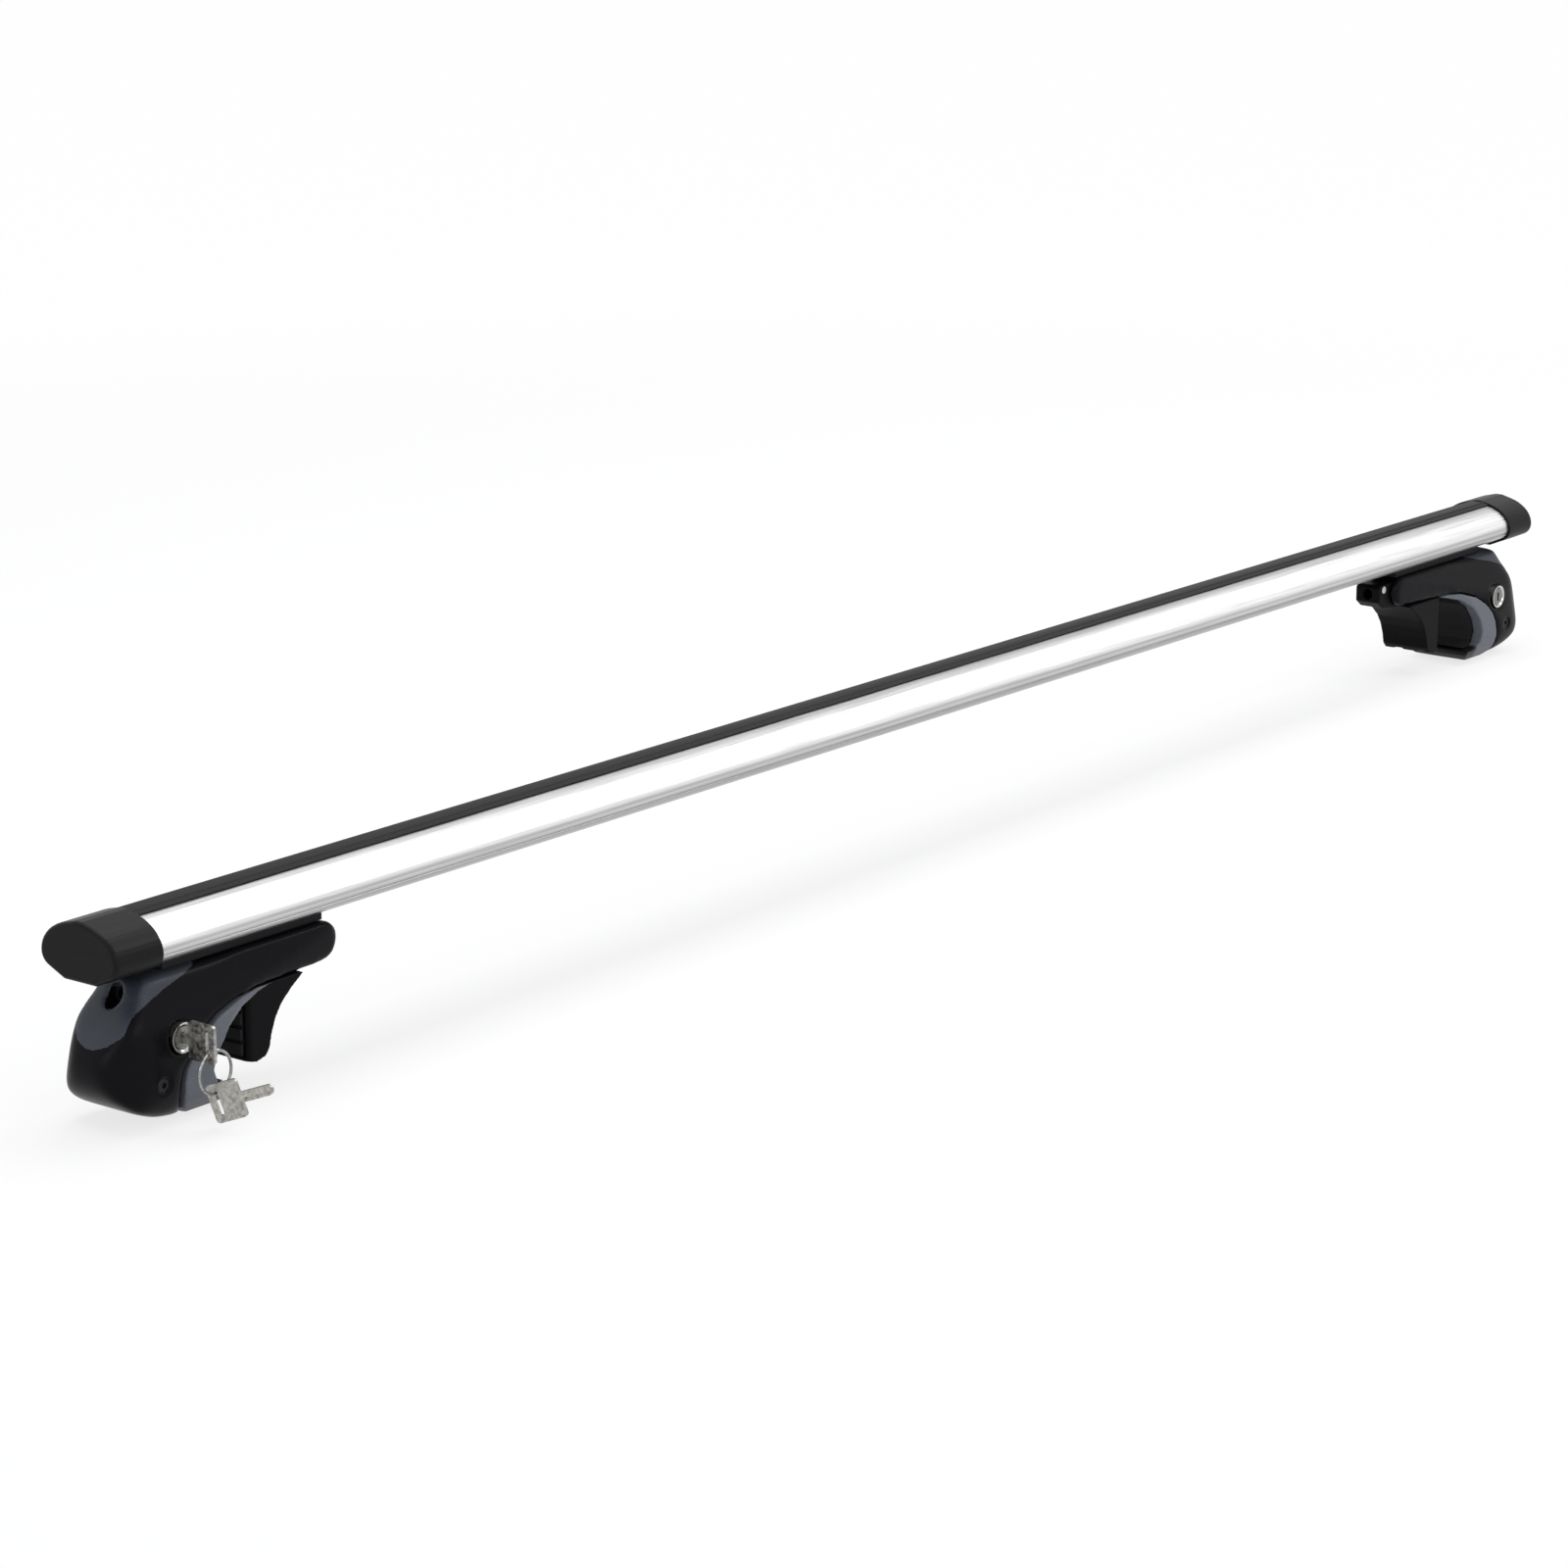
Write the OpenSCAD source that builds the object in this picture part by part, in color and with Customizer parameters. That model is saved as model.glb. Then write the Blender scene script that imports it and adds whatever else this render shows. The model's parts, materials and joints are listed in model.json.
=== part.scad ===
// Roof rack crossbar for cars with raised side rails: an aluminium wing-section bar on two
// clamping feet, each with a sliding jaw, a clamp screw and a lock.
// x runs along the bar, -y is the face that the locks are on, and z = 0 is the load face.

/* [Bar] */
// Length over the two end caps
total_len = 1326; // [1000:1:1600]
// Width of the bar from nose to nose
bar_w = 48; // [44:1:64]
// Height of the bar without its rubber strip
bar_h = 26; // [25:1:34]
// Height of the widest line of the section above the underside
nose_z = 10.5; // [10:0.5:13]
// Radius of the rounded lower nose
nose_r = 6.5; // [5:0.5:8]
// Width of the flat underside
flat_w = 20; // [19:1:26]
// Wall of the extrusion
bar_wall = 1.8; // [1.5:0.1:2.2]
// Width of the slot's mouth, above and below
mouth_w = 11; // [9:0.5:12]
// Width of the channel behind the mouth
channel_w = 18.6; // [17:0.2:20]
// Height of the channel behind the mouth
channel_h = 5.6; // [5:0.2:6.2]
// Thickness of the lips beside the mouth
lip_t = 2.2; // [1.8:0.1:2.6]
// Depth of the two shallow lines that run along each nose
line_depth = 0.7; // [0.4:0.1:0.9]

/* [Rubber strip] */
// Width of the strip over the slot
strip_w = 16; // [13:0.5:20]
// Height of the strip's flat top above the crown of the bar
strip_rise = 1.5; // [1:0.1:2.5]
// Width of the raised middle of the strip
strip_top_w = 9; // [7:0.5:11]

/* [End caps] */
// Length of one end cap
cap_len = 41; // [25:1:55]
// Thickness of the cap around the bar
cap_wall = 1.5; // [1.2:0.1:2.5]
// Thickness of the cap's closed end
cap_end = 3; // [2:0.5:5]

/* [Foot] */
// Distance from the bar's left end to the left foot
left_inset = 1; // [0:1:200]
// Distance from the bar's right end to the right foot
right_inset = 1; // [0:1:200]
// Height of a foot below the underside of the bar
foot_h = 75; // [70:1:90]
// Length of a foot along the bar
foot_len = 160; // [156:1:170]
// Width of a foot at its lobe
foot_w = 50; // [46:1:60]
// Width of the foot under the bar and at the arm's end
arm_w = 28; // [26:1:34]
// Height of the clamping arm's underside below the bar
arm_drop = 23.5; // [22:0.5:26]
// Height of the arm and cover tops below the bar
seat_gap = 4; // [2:0.1:4.5]
// Thickness of the grey cover
cover_t = 2.4; // [1.6:0.2:3]
// Running gap between the jaw and the arm
slide_gap = 0.3; // [0.25:0.05:0.6]

/* [Clamp] */
// Height of the clamp screw's axis below the bar
screw_drop = 13; // [12.5:0.5:15]
// Radius of the clamp screw's shank
screw_r = 3; // [2.5:0.25:3.5]
// Radius of the clamp screw's head
head_r = 5; // [4.5:0.25:5.5]
// Length of the clamp screw under its head
screw_len = 126; // [110:1:126]
// How far the left jaw stands out from its fully measured place
left_open = 0; // [-6:1:16]
// How far the right jaw stands out
right_open = 15; // [-6:1:16]
// Width of the jaw below the arm
jaw_w = 34; // [26:1:36]
// Width of the jaw's tail in the arm
tail_w = 18; // [16:0.5:19]
// Thickness of the rubber pads that meet the rail
pad_t = 3; // [2:0.5:4]

/* [Lock and keys] */
// Distance of the lock's axis from the foot's outer end
lock_x = 41; // [38:1:46]
// Height of the lock's axis below the bar
lock_drop = 33.5; // [32:0.5:38]
// Radius of the lock's bezel
bezel_r = 7.5; // [6.5:0.5:8]
// Radius of the lock's barrel
barrel_r = 5.5; // [4.5:0.25:5.5]
// Depth of the lock in the foot
lock_len = 17; // [14:1:18]
// Width of a key's bow, away from the lock
bow_w = 17; // [14:1:20]
// Height of a key's bow
bow_h = 19; // [16:1:22]
// Thickness of a key
key_t = 1.8; // [1.4:0.1:2]
// Radius of the split ring at the middle of its wire
ring_r = 10.5; // [9:0.5:13]
// Radius of the ring's wire
wire_r = 0.75; // [0.5:0.05:0.9]

/* [Hidden] */
$fn = 48;
fit = 0.1;
run_fit = 0.05;
load_z = bar_h + strip_rise;

// Sections are drawn with y across and z up, then run along x.
module along_x(len) { rotate([90, 0, 90]) linear_extrude(len) children(); }
// A side outline is drawn with x along the bar and z up, then given a width about y = 0.
module across_y(w) { rotate([90, 0, 0]) translate([0, 0, -w / 2]) linear_extrude(w) children(); }
module rod_x(r, len) { rotate([0, 90, 0]) cylinder(r = r, h = len); }
module rod_y(r, len) { rotate([-90, 0, 0]) cylinder(r = r, h = len); }

// Bar: a hollow wing section with a slot above and one below.
crown_h = bar_h - nose_z;
crown = [for (i = [0:24]) [bar_w / 2 * cos(i * 7.5), nose_z + crown_h * sin(i * 7.5)]];
module wing() {
    hull() {
        polygon(crown);
        for (s = [-1, 1]) translate([s * (bar_w / 2 - nose_r), nose_z]) circle(nose_r);
        translate([-flat_w / 2, 0]) square([flat_w, 1]);
    }
}
// The upper channel lies a little deeper, since the crown falls away beside the mouth.
slot_top = bar_h - lip_t - 0.8;
module channel(grow) {
    for (z = [lip_t, slot_top - channel_h])
        translate([-channel_w / 2 - grow, z - grow])
            square([channel_w + 2 * grow, channel_h + 2 * grow]);
}
module bar_section() {
    difference() {
        wing();
        difference() {
            offset(delta = -bar_wall) wing();
            channel(bar_wall);
            for (s = [-1, 1]) translate([s * channel_w * 0.45 - bar_wall / 2, 0])
                square([bar_wall, bar_h]);
        }
        channel(0);
        translate([-mouth_w / 2, -1]) square([mouth_w, lip_t + 2]);
        translate([-mouth_w / 2, bar_h - lip_t - 2]) square([mouth_w, lip_t + 3]);
        for (s = [-1, 1], z = [nose_z - 4.6, nose_z - 2.2])
            translate([s * (bar_w / 2 - 0.2), z]) circle(line_depth, $fn = 6);
    }
}
module bar() {
    color("gainsboro") to_load_face()
        translate([-total_len / 2 + cap_end, 0, 0]) along_x(total_len - 2 * cap_end) bar_section();
}
module to_load_face() { translate([0, 0, -load_z]) children(); }

// Rubber strip: lips that lie on the crown, a flat raised middle, and a foot in the channel.
// It runs from cap to cap.
lip_h = 1.1;
strip_play = 0.4;
strip_foot = 2;
strip_foot_h = 1.8;
function crown_z(y) = nose_z + crown_h * sqrt(1 - pow(2 * y / bar_w, 2));
function above_crown(y, h) = [y, crown_z(y) + h];
neck_w = mouth_w / 2 - strip_play;
foot_y = mouth_w / 2 + strip_foot;
strip_half = [[strip_top_w / 2, load_z], above_crown(strip_top_w / 2 + 0.8, lip_h),
              above_crown(strip_w / 2 - 1.2, lip_h), above_crown(strip_w / 2, lip_h - 0.4),
              above_crown(strip_w / 2, 0.02), above_crown(6.2, 0.02), above_crown(neck_w, 0.02),
              [neck_w, slot_top - 0.1], [foot_y, slot_top - 0.1],
              [foot_y, slot_top - 0.1 - strip_foot_h]];
module strip_section() {
    polygon(concat(strip_half, [for (i = [len(strip_half) - 1:-1:0])
        [-strip_half[i][0], strip_half[i][1]]]));
}
module top_strip() {
    color("dimgray") to_load_face() translate([-total_len / 2 + cap_len + fit, 0, 0])
        along_x(total_len - 2 * (cap_len + fit)) strip_section();
}

// End caps: a moulded sleeve over the bar's end, notched along its underside.
cap_top = 0.6;
cap_top_w = 4;
module cap_outline() {
    difference() {
        offset(r = cap_wall) hull() {
            wing();
            translate([-cap_top_w / 2, bar_h - 1]) square([cap_top_w, 1 + cap_top]);
        }
        for (s = [-1, 1]) translate([s * (bar_w / 2 - 6.2), -0.9]) circle(1.3);
    }
}
module end_cap() {
    difference() {
        along_x(cap_len) cap_outline();
        translate([cap_end, 0, 0]) along_x(cap_len) offset(delta = fit) wing();
    }
}
module left_end_cap() {
    color("black") to_load_face() translate([-total_len / 2, 0, 0]) end_cap();
}
module right_end_cap() {
    color("black") to_load_face() translate([total_len / 2, 0, 0]) mirror([1, 0, 0]) end_cap();
}

// Every part of a foot is drawn with x = 0 at the foot's outer end and x pointing inboard.
module left_foot_at() {
    to_load_face() translate([-total_len / 2 + left_inset, 0, 0]) children();
}
module right_foot_at() {
    to_load_face() translate([total_len / 2 - right_inset, 0, 0]) mirror([1, 0, 0]) children();
}

// Outline of a foot from the side: outer slope, rounded lobe, hook, arch and arm.
arm_top_r = 6.5;
arm_low_r = 13;
outer_face = [[26, -seat_gap], [20.5, -14], [11.5, -25], [4.5, -34], [1, -40.5], [0, -47],
              [1.6, -53.5], [6, -60], [14, -66], [27, -foot_h + 3.6], [40, -foot_h + 1],
              [52, -foot_h]];
hook = [[66, -foot_h + 0.4], [75, -foot_h + 3], [78, -foot_h + 6.5], [76.5, -foot_h + 8.6]];
arch_in = [[70, -65.5], [63, -61.5], [60.5, -54.5], [63.5, -46.5], [72, -36.5], [84, -29.5],
           [100, -25.5], [112, -arm_drop]];
arch_out = [[50, -foot_h], [44, -70.5], [41.6, -64], [41.4, -57], [43.4, -50], [48, -43.2],
            [56, -36.2], [67, -30], [84, -25], [100, -23.7], [112, -arm_drop]];
module arm_end() {
    hull() {
        translate([foot_len - arm_top_r, -seat_gap - arm_top_r]) circle(arm_top_r);
        translate([foot_len - arm_low_r, -arm_drop + arm_low_r]) circle(arm_low_r);
        translate([100, -arm_drop]) square([5, arm_drop - seat_gap]);
    }
}
module reversed_polygon(a, b) {
    polygon(concat(a, [for (i = [len(b) - 1:-1:0]) b[i]]));
}
module foot_outline() {
    polygon(concat(outer_face, hook, arch_in, [[112, -seat_gap]]));
    arm_end();
}
module liner_outline() {
    reversed_polygon(concat([[52, -foot_h]], hook, arch_in), arch_out);
}
// Outline from above: a round outer end, full width at the lobe and a taper to the arm.
module foot_plan() {
    hull() {
        for (s = [-1, 1]) translate([19, s * (foot_w / 2 - 19)]) circle(19);
        translate([55, -foot_w / 2]) square([12, foot_w]);
    }
    hull() {
        translate([60, -foot_w / 2]) square([7, foot_w]);
        translate([96, -foot_w * 0.37]) square([1, foot_w * 0.74]);
    }
    hull() {
        translate([96, -foot_w * 0.37]) square([1, foot_w * 0.74]);
        for (s = [-1, 1]) translate([foot_len - 5, s * (arm_w / 2 - 5)]) circle(5);
    }
}
// Outline from the end: narrow under the bar, flaring down to the lobe, rounded below.
flare_half = [[arm_w / 2 - 0.6, -seat_gap], [arm_w / 2 + 1.6, -12], [foot_w / 2 - 5.6, -21],
              [foot_w / 2 - 2, -30], [foot_w / 2 - 0.4, -38], [foot_w / 2, -45],
              [foot_w / 2, -foot_h + 15], [foot_w / 2 - 1.4, -foot_h + 9],
              [foot_w / 2 - 4, -foot_h + 4.6], [foot_w / 2 - 8, -foot_h + 1.4],
              [foot_w / 2 - 13, -foot_h]];
module flare() {
    polygon(concat(flare_half, [for (i = [len(flare_half) - 1:-1:0])
        [-flare_half[i][0], flare_half[i][1]]]));
}
module foot_solid(inset = 0) {
    intersection() {
        across_y(2 * foot_w) offset(delta = -inset) foot_outline();
        translate([0, 0, -foot_h - 5]) linear_extrude(foot_h + 10) offset(delta = -inset) foot_plan();
        translate([-10, 0, 0]) along_x(foot_len + 20) offset(delta = -inset) flare();
    }
}
// The grey cover lies above this curve on the flanks, and ends in a round tongue outside.
cover_line = [[-10, -19.5], [17, -19.5], [26.5, -15], [37, -11.5], [53, -7.8], [61, -5.3],
              [66, -3], [66, 5], [-10, 5]];
tongue_r = 20.2;
tongue_drop = 14.8;
tongue_end = [for (a = [-50:10:50]) [tongue_r * sin(a), -tongue_drop - tongue_r * cos(a)]];
module cover_zone(grow) {
    across_y(2 * foot_w) translate([0, -grow]) polygon(cover_line);
    translate([-10, 0, 0]) along_x(30)
        offset(delta = grow) polygon(concat(tongue_end, [[15.4, -10], [-15.4, -10]]));
}
key_hole_r = 4.3;
key_hole_len = 30;
module key_hole(grow) {
    for (z = [-screw_drop - 1, -screw_drop + 1]) translate([-5, 0, z])
        rod_x(key_hole_r + grow, key_hole_len);
    translate([-5, -key_hole_r - grow, -screw_drop - 1])
        cube([key_hole_len, 2 * (key_hole_r + grow), 2]);
}
// Window in the cover's top for the seat pad.
window_w = 20;
window_len = 20;
module cover() {
    difference() {
        intersection() {
            foot_solid();
            cover_zone(0);
        }
        foot_solid(cover_t);
        key_hole(0);
        translate([pad_from - 1, -window_w / 2, -10]) cube([window_len, window_w, 12]);
        translate([head_x - 0.4, 0, -screw_drop]) rod_x(head_r + 0.4, 10);
    }
}

// Shell: the black moulded body and arm, open below for the jaw's tail.
tunnel_from = 84;
roof_t = 1.8;
head_x = 26;
head_h = 6;
washer_t = 1.5;
seat_x = head_x + head_h + washer_t;
screw_x = [50, 78];
bolt_x = 28;
bolt_drop = 54;
module jaw_sweep() {
    translate([80, -jaw_w / 2 - slide_gap, -arm_drop - 20])
        cube([52, jaw_w + 2 * slide_gap, 20]);
}
module shell() {
    difference() {
        union() {
            difference() {
                foot_solid();
                cover_zone(fit);
            }
            foot_solid(cover_t + fit);
            translate([pad_from - 1 + fit, -window_w / 2 + fit, -10])
                cube([window_len - 2 * fit, window_w - 2 * fit, 10 - seat_gap]);
        }
        // Seat of the grey liner.
        across_y(2 * foot_w)
            polygon(concat(arch_out, [[130, -arm_drop - 3], [130, -foot_h - 5], [50, -foot_h - 5]]));
        jaw_sweep();
        // Tunnel of the jaw's tail, open below and at the arm's end.
        translate([tunnel_from, -tail_w / 2 - slide_gap, -arm_drop - 10])
            cube([foot_len, tail_w + 2 * slide_gap, arm_drop + 10 - seat_gap - roof_t]);
        // Way of the clamp screw, its bearing and its head.
        translate([0, 0, -screw_drop]) rod_x(screw_r + run_fit, tunnel_from + 1);
        translate([seat_x + 10, 0, -screw_drop]) rod_x(screw_r + 0.6, tunnel_from);
        translate([0, 0, -screw_drop]) rod_x(head_r + 0.6, seat_x);
        key_hole(0.4);
        // Holes of the slot plate's screws.
        for (x = screw_x) translate([x, 0, -9.2]) cylinder(r = 2.5, h = 10);
        // Bore and recess of the lock, and the cam's room behind it.
        translate([lock_x, -foot_w, -lock_drop]) rod_y(bezel_r, foot_w / 2 + lock_len);
        translate([lock_x, -foot_w, -lock_drop]) rod_y(bezel_r + 1.8, foot_w / 2 + 1.6);
        translate([lock_x - 9.5, -foot_w / 2 + lock_len - 1, -lock_drop - 6])
            cube([15, 6, 15.5]);
        // Bore of the assembly screw.
        translate([bolt_x, -foot_w, -bolt_drop]) rod_y(3.6, foot_w / 2 + 3);
        translate([bolt_x, -foot_w, -bolt_drop]) rod_y(1.8, foot_w / 2 + 12);
    }
}
// The rail pad lies half sunk in the liner along the arch.
pad_sunk = 1.5;
module arch_opening() {
    polygon(concat(arch_in, [[130, -arm_drop], [130, -foot_h + 8.6], [76.5, -foot_h + 8.6]]));
}
module pad_band(gap) {
    intersection() {
        difference() {
            offset(delta = pad_sunk + gap) arch_opening();
            offset(delta = pad_sunk - pad_t - gap) arch_opening();
        }
        translate([58 - gap, -64.5 - gap]) square([22 + 2 * gap, 36 + 2 * gap]);
    }
}
module liner() {
    difference() {
        intersection() {
            across_y(foot_w) offset(delta = -0.05) liner_outline();
            foot_solid();
        }
        across_y(jaw_w + 2 * fit) pad_band(fit);
        jaw_sweep();
    }
}
module rail_pad() { across_y(jaw_w) pad_band(0); }

// Rubber between the foot and the bar.
pad_from = cap_len + 3;
module seat_pad() {
    difference() {
        translate([pad_from, -9, -seat_gap + 0.05])
            cube([foot_len - pad_from - 8, 18, seat_gap - 0.15]);
        for (x = screw_x) translate([x, 0, -5]) cylinder(r = 3.2, h = 10);
    }
}
// Steel plate that slides in the bar's lower channel, and the two screws that pull it down.
plate_h = 4;
plate_z = lip_t + 0.1;
module slot_plate() {
    difference() {
        translate([42, -channel_w / 2 + 0.3, plate_z]) cube([46, channel_w - 0.6, plate_h]);
        for (x = screw_x) translate([x, 0, 0]) cylinder(r = 2.55, h = 20);
    }
}
module plate_screws() {
    for (x = screw_x) {
        translate([x, 0, -8.8]) cylinder(r = 2.45, h = plate_z + plate_h + 8.8);
        translate([x, 0, plate_z + plate_h]) difference() {
            cylinder(r = 4.2, h = 1.2);
            translate([0, 0, 0.5]) cylinder(r = 2, h = 2, $fn = 6);
        }
    }
}
module shell_screw() {
    translate([bolt_x, -foot_w / 2 + 1, -bolt_drop]) difference() {
        union() {
            rod_y(3.4, 2);
            rod_y(1.75, 10);
        }
        translate([0, -0.1, 0]) rotate([-90, 0, 0]) cylinder(r = 1.6, h = 1.2, $fn = 6);
    }
}

// Jaw: its tail runs in the arm and carries the barrel nut, its body hangs below the arm.
tail_end = 157;
tail_drop = seat_gap + roof_t + slide_gap + 0.6;
nut_x = 136;
nut_r = 5;
jaw_face = 90.5;
jaw_back = [[jaw_face, -60], [97, -61.5], [103, -60], [106, -56.5], [107.5, -50], [110.5, -42.5],
            [115, -36], [122, -30], [131, -arm_drop - slide_gap]];
module jaw_body() {
    polygon(concat([[jaw_face, -arm_drop - slide_gap]], jaw_back));
}
module jaw() {
    difference() {
        union() {
            intersection() {
                across_y(jaw_w) jaw_body();
                translate([0, 0, -90]) linear_extrude(90) offset(r = 3) offset(delta = -3)
                    translate([jaw_face, -jaw_w / 2]) square([60, jaw_w]);
            }
            intersection() {
                across_y(tail_w) polygon([[92, -arm_drop - 1], [92, -tail_drop],
                    [tail_end - 2, -tail_drop], [tail_end, -tail_drop - 2], [tail_end, -18],
                    [tail_end - 6, -arm_drop + 1], [131, -arm_drop - 1]]);
                translate([80, -tail_w / 2, -40]) cube([100, tail_w, 40]);
            }
        }
        // Clearance hole for the clamp screw and the cross bore of its nut.
        translate([80, 0, -screw_drop]) rod_x(screw_r + 0.5, 100);
        translate([nut_x, -tail_w, -screw_drop]) rod_y(nut_r, 2 * tail_w);
        for (s = [-1, 1]) translate([pin_x, s * (tail_w / 2 - pin_len), -pin_drop])
            rotate([-90 * s, 0, 0]) cylinder(r = pin_r, h = 9);
        // Seat of the jaw's rubber pad, and two moulded hollows, open below.
        translate([jaw_face - 1, -jaw_w / 2 + 3 - fit, -57 - fit])
            cube([2.5, jaw_w - 6 + 2 * fit, 30 + 2 * fit]);
        for (s = [-1, 1]) translate([jaw_face + 6, s * 8 - 4.5, -70]) cube([7, 9, 39]);
    }
}
pin_x = 151;
pin_drop = 10;
pin_r = 2.4;
pin_len = 3;
// Two short pins in the tail's flanks, which stop the jaw at the arm's end.
module stop_pins() {
    for (s = [-1, 1]) translate([pin_x, s * (tail_w / 2 - pin_len), -pin_drop])
        rotate([-90 * s, 0, 0]) cylinder(r = pin_r - 0.02, h = pin_len);
}
module jaw_pad() {
    for (z = [-57, -49.3, -41.6, -33.9]) translate([jaw_face - pad_t + 1.5, -jaw_w / 2 + 3, z])
        cube([pad_t - 1.5, jaw_w - 6, 5.5]);
    translate([jaw_face, -jaw_w / 2 + 3, -57]) cube([1.5, jaw_w - 6, 30]);
}
module barrel_nut() {
    difference() {
        translate([nut_x, -tail_w / 2 + 0.6, -screw_drop]) rod_y(nut_r - 0.05, tail_w - 1.2);
        translate([nut_x - 10, 0, -screw_drop]) rod_x(screw_r + run_fit, 20);
    }
}
module clamp_screw() {
    difference() {
        union() {
            translate([head_x, 0, -screw_drop]) rod_x(head_r, head_h);
            translate([head_x, 0, -screw_drop]) rod_x(screw_r, head_h + screw_len);
        }
        translate([head_x - 1, 0, -screw_drop]) rotate([0, 90, 0]) cylinder(r = 2.9, h = 5, $fn = 6);
    }
}
module washer() {
    translate([head_x + head_h + 0.02, 0, -screw_drop]) difference() {
        rod_x(head_r + 0.4, washer_t - 0.04);
        translate([-1, 0, 0]) rod_x(screw_r + 0.2, 5);
    }
}

// Lock: a pressed-in sleeve with a bezel, a barrel that turns in it and a cam behind.
face_y = -foot_w / 2;
keyway_t = key_t + 0.3;
module lock_bezel() {
    translate([lock_x, face_y - 0.2, -lock_drop]) difference() {
        rod_y(bezel_r - 0.02, lock_len);
        translate([0, -1, 0]) rod_y(barrel_r + run_fit, lock_len + 2);
        translate([0, -0.1, 0]) rotate([-90, 0, 0])
            cylinder(r1 = barrel_r + 1.2, r2 = barrel_r, h = 1.2, $fn = 96);
    }
}
module lock_barrel() {
    translate([lock_x, face_y + 0.3, -lock_drop]) difference() {
        union() {
            rod_y(barrel_r, lock_len - 0.4);
            rod_y(2.5, lock_len + 2.1);
        }
        translate([-keyway_t / 2, -1, -2.9]) cube([keyway_t, 15, 5.8]);
    }
}
module lock_cam() {
    translate([lock_x, face_y + lock_len + 0.1, -lock_drop]) difference() {
        union() {
            rod_y(4.6, 2);
            translate([-2.6, 0, 0]) cube([5.2, 2, 8.6]);
        }
        translate([0, -1, 0]) rod_y(2.5, 6);
    }
}
key_bow_y = -3.6;
blade_len = 12;
blade_w = 5.2;
slot_x = 4.2;
slot_r = 1.3;
slot_half = 4.8;
// A key drawn flat: the blade runs along +y and the slot lies near the bow's far edge.
module key_plate() {
    difference() {
        union() {
            translate([-bow_h / 2, key_bow_y - bow_w])
                offset(r = 2) offset(delta = -2) square([bow_h, bow_w]);
            translate([-blade_w / 2, key_bow_y - 1]) square([blade_w, blade_len + 3.6]);
            translate([0, key_bow_y + blade_len + blade_w / 2]) circle(blade_w / 2);
        }
        for (t = [-slot_half, slot_half]) translate([t, key_bow_y - bow_w + slot_x]) circle(slot_r);
        translate([-slot_half, key_bow_y - bow_w + slot_x - slot_r])
            square([2 * slot_half, 2 * slot_r]);
    }
}
// The blade carries a milled groove on each face.
groove_d = 0.5;
module key_solid() {
    rotate([0, 90, 0]) difference() {
        translate([0, 0, -key_t / 2]) linear_extrude(key_t) key_plate();
        for (s = [-1, 1]) translate([s * 0.9 - 0.4, key_bow_y + 2, s * key_t / 2 - groove_d])
            cube([0.8, 30, 2 * groove_d]);
    }
}
ring_y = key_bow_y - bow_w + slot_x;
hang_z = -slot_half + 0.1;
ring_lean = 20;
module key_in_lock() { translate([lock_x, face_y, -lock_drop]) key_solid(); }
module ring_at() {
    translate([lock_x, face_y + ring_y, -lock_drop + hang_z]) rotate([0, -ring_lean, 0])
        translate([0, 0, -ring_r]) children();
}
module split_ring() {
    ring_at() rotate([90, 0, 0]) difference() {
        rotate_extrude($fn = 96) translate([ring_r, 0]) circle(wire_r, $fn = 24);
        rotate([0, 0, 200]) translate([ring_r, 0, 0]) cube([4, 0.25, 4], center = true);
    }
}
ring_dx = ring_r * sin(ring_lean);
ring_dz = -ring_r * cos(ring_lean);
// The spare key hangs by its slot from the ring's lowest point.
spare_turn = -20;
spare_swing = 18;
module spare_key_solid() {
    translate([lock_x + ring_dx, face_y + ring_y, -lock_drop + hang_z + ring_dz - ring_r])
        rotate([0, 0, spare_swing]) rotate([spare_turn, 0, 0]) translate([0, 0, hang_z])
            rotate([180, 0, 0]) translate([0, -ring_y, 0]) key_solid();
}
// Each foot in its place. What moves with a jaw stands out by that jaw's opening.
module left_jaw_at() { left_foot_at() translate([left_open, 0, 0]) children(); }
module right_jaw_at() { right_foot_at() translate([right_open, 0, 0]) children(); }
module left_shell() { color([0.09, 0.09, 0.1]) left_foot_at() shell(); }
module right_shell() { color([0.09, 0.09, 0.1]) right_foot_at() shell(); }
module left_cover() { color([0.24, 0.26, 0.3]) left_foot_at() cover(); }
module right_cover() { color([0.24, 0.26, 0.3]) right_foot_at() cover(); }
module left_liner() { color([0.33, 0.35, 0.4]) left_foot_at() liner(); }
module right_liner() { color([0.33, 0.35, 0.4]) right_foot_at() liner(); }
module left_rail_pad() { color([0.1, 0.1, 0.11]) left_foot_at() rail_pad(); }
module right_rail_pad() { color([0.1, 0.1, 0.11]) right_foot_at() rail_pad(); }
module left_seat_pad() { color([0.08, 0.08, 0.08]) left_foot_at() seat_pad(); }
module right_seat_pad() { color([0.08, 0.08, 0.08]) right_foot_at() seat_pad(); }
module left_slot_plate() { color("silver") left_foot_at() slot_plate(); }
module right_slot_plate() { color("silver") right_foot_at() slot_plate(); }
module left_plate_screws() { color("silver") left_foot_at() plate_screws(); }
module right_plate_screws() { color("silver") right_foot_at() plate_screws(); }
module left_shell_screw() { color([0.15, 0.15, 0.16]) left_foot_at() shell_screw(); }
module right_shell_screw() { color([0.15, 0.15, 0.16]) right_foot_at() shell_screw(); }
module left_jaw() { color([0.08, 0.08, 0.09]) left_jaw_at() jaw(); }
module right_jaw() { color([0.08, 0.08, 0.09]) right_jaw_at() jaw(); }
module left_jaw_pad() { color([0.12, 0.12, 0.12]) left_jaw_at() jaw_pad(); }
module right_jaw_pad() { color([0.12, 0.12, 0.12]) right_jaw_at() jaw_pad(); }
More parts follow.
